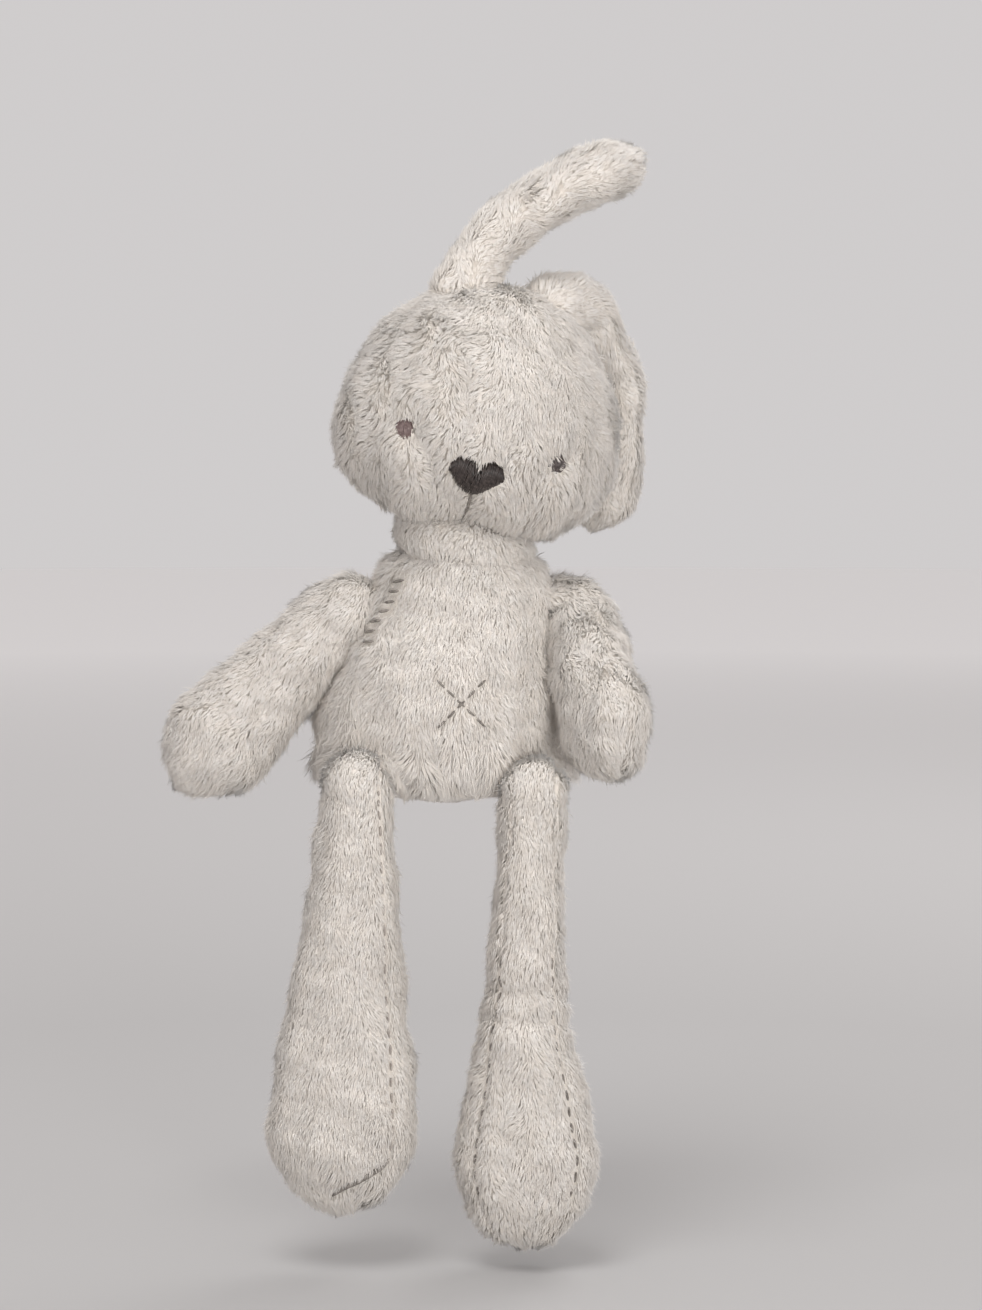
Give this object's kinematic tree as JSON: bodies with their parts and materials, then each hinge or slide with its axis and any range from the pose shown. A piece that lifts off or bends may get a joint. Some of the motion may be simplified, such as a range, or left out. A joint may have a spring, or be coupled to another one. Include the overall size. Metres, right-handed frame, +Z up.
{
  "type": "plush long-legged rabbit",
  "caption": "Seated long-legged plush rabbit with a leaning head, one raised and one folded ear, soft arms and hanging legs, jointed at its seams.",
  "frame": {"origin": "middle of the flat seat face under the torso", "axes": "+Z up through the torso, -Y out of the face, +X to the right seen from the front; left and right in the names are as seen from the front"},
  "size_m": [0.1855, 0.131, 0.4129],
  "materials": {
    "plush": "short soft ivory pile",
    "stuffing": "loose polyester fibre",
    "eye_thread": "satin embroidery thread",
    "nose_thread": "satin embroidery thread",
    "mouth_thread": "satin embroidery thread",
    "seam_thread": "dull sewing thread"
  },
  "bodies": {
    "torso": {"torso_front": "plush", "torso_back": "plush", "seat_panel": "plush", "torso_stuffing": "stuffing", "tail_skin": "plush", "tail_stuffing": "stuffing", "arm_seam_stitches": "seam_thread", "navel_stitches": "seam_thread"},
    "neck": {"neck_roll": "plush", "neck_stuffing": "stuffing"},
    "head": {"head_front": "plush", "head_back": "plush", "head_stuffing": "stuffing", "eye_left": "eye_thread", "eye_right": "eye_thread", "nose": "nose_thread", "mouth_thread": "mouth_thread"},
    "ear_up_root": {"ear_up_root_skin": "plush", "ear_up_root_padding": "stuffing"},
    "ear_up_tip": {"ear_up_tip_skin": "plush", "ear_up_tip_padding": "stuffing"},
    "ear_folded_root": {"ear_folded_root_skin": "plush", "ear_folded_root_padding": "stuffing"},
    "ear_folded_tip": {"ear_folded_tip_skin": "plush", "ear_folded_tip_padding": "stuffing"},
    "shoulder_left": {"arm_left_root": "plush"},
    "arm_left": {"arm_left_front": "plush", "arm_left_back": "plush", "arm_left_stuffing": "stuffing"},
    "leg_left_upper": {"leg_left_upper_back": "plush", "leg_left_upper_front": "plush", "leg_left_upper_gusset": "plush", "leg_left_upper_stuffing": "stuffing"},
    "leg_left_lower": {"leg_left_lower_back": "plush", "leg_left_lower_front": "plush", "leg_left_lower_gusset": "plush", "leg_left_lower_stuffing": "stuffing"},
    "shoulder_right": {"arm_right_root": "plush"},
    "arm_right": {"arm_right_front": "plush", "arm_right_back": "plush", "arm_right_stuffing": "stuffing"},
    "leg_right_upper": {"leg_right_upper_back": "plush", "leg_right_upper_front": "plush", "leg_right_upper_gusset": "plush", "leg_right_upper_stuffing": "stuffing"},
    "leg_right_lower": {"leg_right_lower_back": "plush", "leg_right_lower_front": "plush", "leg_right_lower_gusset": "plush", "leg_right_lower_stuffing": "stuffing"}
  },
  "joints": [
    {"name": "head_turn", "type": "hinge", "parent": "torso", "child": "neck", "pos_m": [0.005, 0, 0.099], "axis": [0, 0, 1], "range_deg": [-25, 25], "stiffness_Nm_per_rad": 0.05},
    {"name": "head_nod", "type": "hinge", "parent": "neck", "child": "head", "pos_m": [0.005, 0, 0.099], "axis": [1, 0, 0], "range_deg": [-12, 14], "stiffness_Nm_per_rad": 0.6},
    {"name": "ear_up_sway", "type": "hinge", "parent": "head", "child": "ear_up_root", "pos_m": [0.00804, -0.00158, 0.19768], "axis": [-0.2029, 0.9739, 0.1014], "range_deg": [-45, 20]},
    {"name": "ear_up_bend", "type": "hinge", "parent": "ear_up_root", "child": "ear_up_tip", "pos_m": [0.02, 0.001, 0.214], "axis": [0.2029, -0.9739, -0.1014], "range_deg": [-40, 50]},
    {"name": "ear_folded_lift", "type": "hinge", "parent": "head", "child": "ear_folded_root", "pos_m": [0.04005, 0.00158, 0.19029], "axis": [0.6516, -0.7519, -0.1003], "range_deg": [0, 70]},
    {"name": "ear_folded_bend", "type": "hinge", "parent": "ear_folded_root", "child": "ear_folded_tip", "pos_m": [0.061, 0.028, 0.165], "axis": [0.6516, -0.7519, -0.1003], "range_deg": [0, 60]},
    {"name": "arm_left_raise", "type": "hinge", "parent": "torso", "child": "shoulder_left", "pos_m": [-0.04168, 0, 0.075], "axis": [0, 1, 0], "range_deg": [0, 70]},
    {"name": "arm_left_swing", "type": "hinge", "parent": "shoulder_left", "child": "arm_left", "pos_m": [-0.04168, 0, 0.075], "axis": [-1, 0, 0], "range_deg": [-25, 60]},
    {"name": "arm_right_raise", "type": "hinge", "parent": "torso", "child": "shoulder_right", "pos_m": [0.04964, 0, 0.075], "axis": [0, -1, 0], "range_deg": [0, 80]},
    {"name": "arm_right_swing", "type": "hinge", "parent": "shoulder_right", "child": "arm_right", "pos_m": [0.04964, 0, 0.075], "axis": [-1, 0, 0], "range_deg": [-16, 40]},
    {"name": "hip_left_swing", "type": "hinge", "parent": "torso", "child": "leg_left_upper", "pos_m": [-0.032, -0.0405, 0.01], "axis": [-1, 0, 0], "range_deg": [-6, 85]},
    {"name": "knee_left_bend", "type": "hinge", "parent": "leg_left_upper", "child": "leg_left_lower", "pos_m": [-0.03556, -0.0405, -0.062], "axis": [1, 0, 0], "range_deg": [-50, 70]},
    {"name": "hip_right_swing", "type": "hinge", "parent": "torso", "child": "leg_right_upper", "pos_m": [0.033, -0.0405, 0.008], "axis": [-1, 0, 0], "range_deg": [-6, 85]},
    {"name": "knee_right_bend", "type": "hinge", "parent": "leg_right_upper", "child": "leg_right_lower", "pos_m": [0.03257, -0.0405, -0.066], "axis": [1, 0, 0], "range_deg": [-50, 70]}
  ]
}
